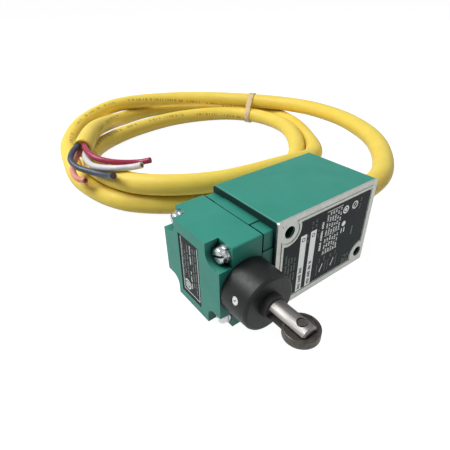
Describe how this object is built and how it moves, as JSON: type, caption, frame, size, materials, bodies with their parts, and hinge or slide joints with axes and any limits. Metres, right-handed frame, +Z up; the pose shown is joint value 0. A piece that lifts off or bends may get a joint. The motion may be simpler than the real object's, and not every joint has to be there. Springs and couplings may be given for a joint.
{
  "type": "limit switch",
  "caption": "Prewired limit switch: die-cast body and square head, black turret with a roller plunger, diagonal through mounting holes, and a looped yellow cable with bare ends.",
  "frame": {"origin": "centre of the underside of the switch's box, without its cable, as it lies on its side", "axes": "+X from the head along the body to the cable exit, +Y from the front plate to the mounting back, +Z up from the side that it lies on"},
  "size_m": [0.2282, 0.3305, 0.0445],
  "materials": {
    "teal_paint": "satin teal-green enamel on a die casting, slightly worn at the edges",
    "plate_metal": "matte pressed metal plate",
    "label_dark": null,
    "black_turret": "black satin enamel",
    "shaft_steel": "turned and polished steel",
    "roller_steel": "dark hardened steel with a bright worn rim",
    "zinc_plate": "bright zinc-plated steel",
    "bronze": "sintered bronze",
    "contact_brass": "stamped brass",
    "black_rubber": "black nitrile rubber",
    "block_plastic": "moulded thermoset plastic",
    "carrier_plastic": "moulded ivory plastic",
    "potting": "cast sealing compound",
    "cable_yellow": "satin yellow cable jacket",
    "wire_red": "red conductor insulation",
    "wire_white": "white conductor insulation",
    "wire_black": "black conductor insulation",
    "wire_orange": "orange conductor insulation",
    "tie_clear": "translucent natural nylon"
  },
  "bodies": {
    "housing": {"body_housing": "teal_paint", "front_plate": "plate_metal", "data_label": "label_dark", "neck_gasket": "black_rubber", "head_neck": "teal_paint", "head_gasket": "black_rubber", "operating_head": "teal_paint", "head_nameplate": "label_dark", "head_lock_washers": "zinc_plate", "head_screws": "zinc_plate", "plunger_housing": "black_turret", "housing_o_ring": "black_rubber", "plunger_bushing": "bronze", "housing_set_screw": "zinc_plate", "wiper_seal": "black_rubber", "plunger_return_spring": "shaft_steel", "push_rod_guide": "bronze", "push_rod_seal": "black_rubber", "carrier_spring": "shaft_steel", "contact_block_base": "block_plastic", "contact_block_cover": "block_plastic", "contact_block_screws": "zinc_plate", "fixed_contacts_closed": "contact_brass", "fixed_contacts_open": "contact_brass", "terminal_lugs": "zinc_plate", "internal_wires": "wire_red", "potting_block": "potting", "cable_bushing": "black_rubber", "strain_relief": "black_rubber", "cable_jacket": "cable_yellow", "cable_tie": "tie_clear", "conductor_red": "wire_red", "conductor_white": "wire_white", "conductor_black": "wire_black", "conductor_orange": "wire_orange"},
    "plunger": {"plunger": "shaft_steel", "roller_pin": "shaft_steel"},
    "roller": {"roller": "roller_steel"},
    "push_rod": {"push_rod": "shaft_steel", "contact_carrier": "carrier_plastic", "moving_contacts": "contact_brass"}
  },
  "joints": [
    {"name": "plunger_slide", "type": "slide", "parent": "housing", "child": "plunger", "axis": [0, 1, 0], "range_m": [0, 0.005], "stiffness_N_per_m": 400, "springref_m": -0.004, "deforming": ["plunger_return_spring"]},
    {"name": "roller_spin", "type": "hinge", "parent": "plunger", "child": "roller", "pos_m": [-0.0422, -0.03058, 0.02225], "axis": [0, 0, 1], "continuous": true},
    {"name": "push_rod_slide", "type": "slide", "parent": "housing", "child": "push_rod", "axis": [1, 0, 0], "range_m": [0, 0.003], "deforming": ["carrier_spring"]}
  ],
  "couplings": [
    {"joint": "push_rod_slide", "follows": "plunger_slide", "ratio": 0.6}
  ]
}
